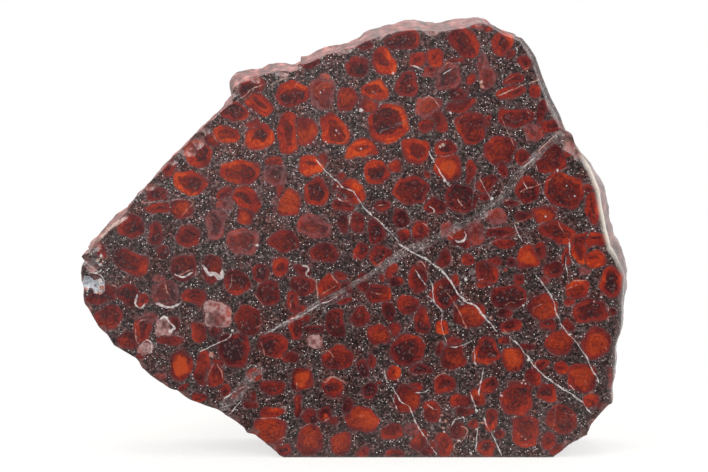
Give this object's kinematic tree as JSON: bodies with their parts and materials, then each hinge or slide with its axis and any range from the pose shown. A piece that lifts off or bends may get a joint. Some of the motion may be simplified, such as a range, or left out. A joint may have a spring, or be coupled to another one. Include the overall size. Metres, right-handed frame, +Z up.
{
  "type": "stromatolite slab",
  "caption": "Upright polished slab of columnar stromatolite: red jasper columns in dark granular chert, with pale veins, broken edges and a sawn base to stand on.",
  "frame": {"origin": "middle of the slab's box, on the surface that it stands on", "axes": "+Z up, +X to the right across the polished face, -Y out of the polished face"},
  "size_m": [0.153, 0.025, 0.1222],
  "materials": {
    "jasper_stromatolite": "polished face, rough broken rim"
  },
  "bodies": {
    "root": {"stromatolite_slab": "jasper_stromatolite"}
  },
  "joints": []
}
